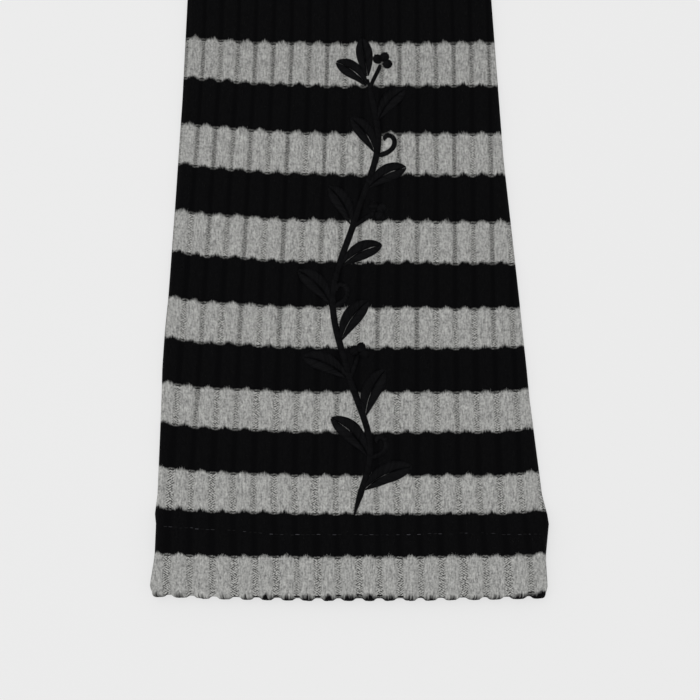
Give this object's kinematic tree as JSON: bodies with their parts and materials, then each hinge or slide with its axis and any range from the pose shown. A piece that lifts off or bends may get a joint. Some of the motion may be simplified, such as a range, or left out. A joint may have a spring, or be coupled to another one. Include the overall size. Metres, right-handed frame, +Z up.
{
  "type": "pair of leg warmers",
  "caption": "Flared ribbed knit tubes, laid flat side by side, with black and grey stripes, turned-in hems and an embroidered sprig.",
  "frame": {"origin": "on the table surface, midway between the two leg warmers and midway along their length", "axes": "+X across the pair from the left leg warmer to the right one, +Y from the flared hems to the narrow tops, +Z up from the table"},
  "size_m": [0.5034, 0.4216, 0.0076],
  "materials": {
    "marl_rib_knit": "brushed rib knit in grey marl and black yarn, matte, with a short soft nap",
    "black_thread": "black sewing and embroidery thread with a low sheen"
  },
  "bodies": {
    "root": {"left_front": "marl_rib_knit", "left_back": "marl_rib_knit", "right_front": "marl_rib_knit", "right_back": "marl_rib_knit"}
  },
  "joints": []
}
